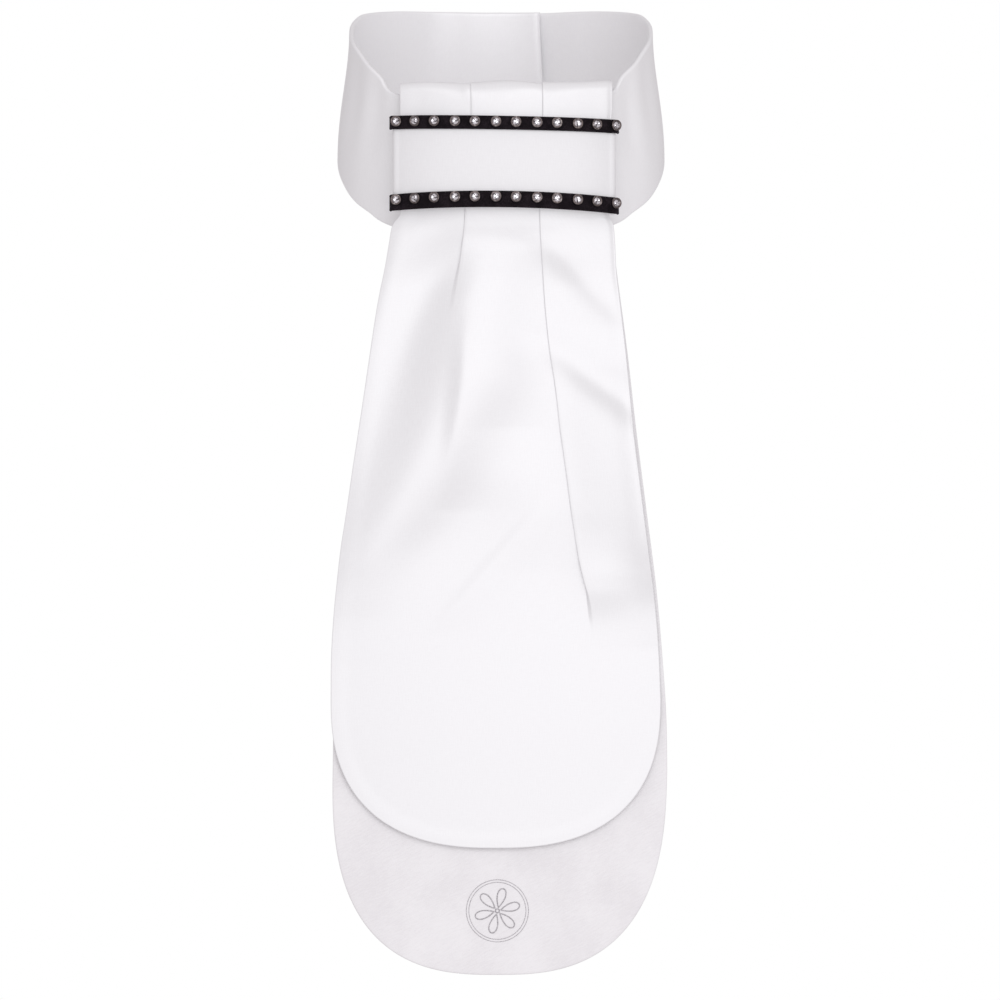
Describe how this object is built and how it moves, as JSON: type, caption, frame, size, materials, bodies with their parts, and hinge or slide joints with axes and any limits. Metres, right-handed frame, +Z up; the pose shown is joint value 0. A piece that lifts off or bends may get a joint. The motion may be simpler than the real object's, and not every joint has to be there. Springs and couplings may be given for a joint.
{
  "type": "ready-tied cravat",
  "caption": "Ready-tied riding cravat: satin neck band lapped at the nape, pleated front tail over a longer rear tail, and a cross band edged with velvet strips and round cut stones.",
  "frame": {"origin": "middle of the neck hollow, where the neck passes through the band", "axes": "+X to the viewer's right, +Y from the throat to the nape, +Z up, against the hang of the tails"},
  "size_m": [0.1319, 0.1354, 0.3861],
  "materials": {
    "satin": "white satin, soft sheen",
    "satin_back": "matte reverse of the satin, fine twill",
    "velvet": "black velvet ribbon",
    "hook_and_loop": "white hook-and-loop tape",
    "cut_stone": "clear foiled glass, facet cut",
    "stone_cup": "dark silver cup with a bright rim",
    "silver_thread": "silver-grey embroidery thread"
  },
  "bodies": {
    "root": {"collar_band": "satin", "neck_fastener": "hook_and_loop", "rear_tail": "satin_back", "front_tail": "satin", "cross_band": "satin", "velvet_strip_top": "velvet", "velvet_strip_bottom": "velvet", "rhinestone_top_01": "cut_stone", "rhinestone_top_02": "cut_stone", "rhinestone_top_03": "cut_stone", "rhinestone_top_04": "cut_stone", "rhinestone_top_05": "cut_stone", "rhinestone_top_06": "cut_stone", "rhinestone_top_07": "cut_stone", "rhinestone_top_08": "cut_stone", "rhinestone_top_09": "cut_stone", "rhinestone_top_10": "cut_stone", "rhinestone_top_11": "cut_stone", "rhinestone_top_12": "cut_stone", "rhinestone_bottom_01": "cut_stone", "rhinestone_bottom_02": "cut_stone", "rhinestone_bottom_03": "cut_stone", "rhinestone_bottom_04": "cut_stone", "rhinestone_bottom_05": "cut_stone", "rhinestone_bottom_06": "cut_stone", "rhinestone_bottom_07": "cut_stone", "rhinestone_bottom_08": "cut_stone", "rhinestone_bottom_09": "cut_stone", "rhinestone_bottom_10": "cut_stone", "rhinestone_bottom_11": "cut_stone", "rhinestone_bottom_12": "cut_stone"}
  },
  "joints": []
}
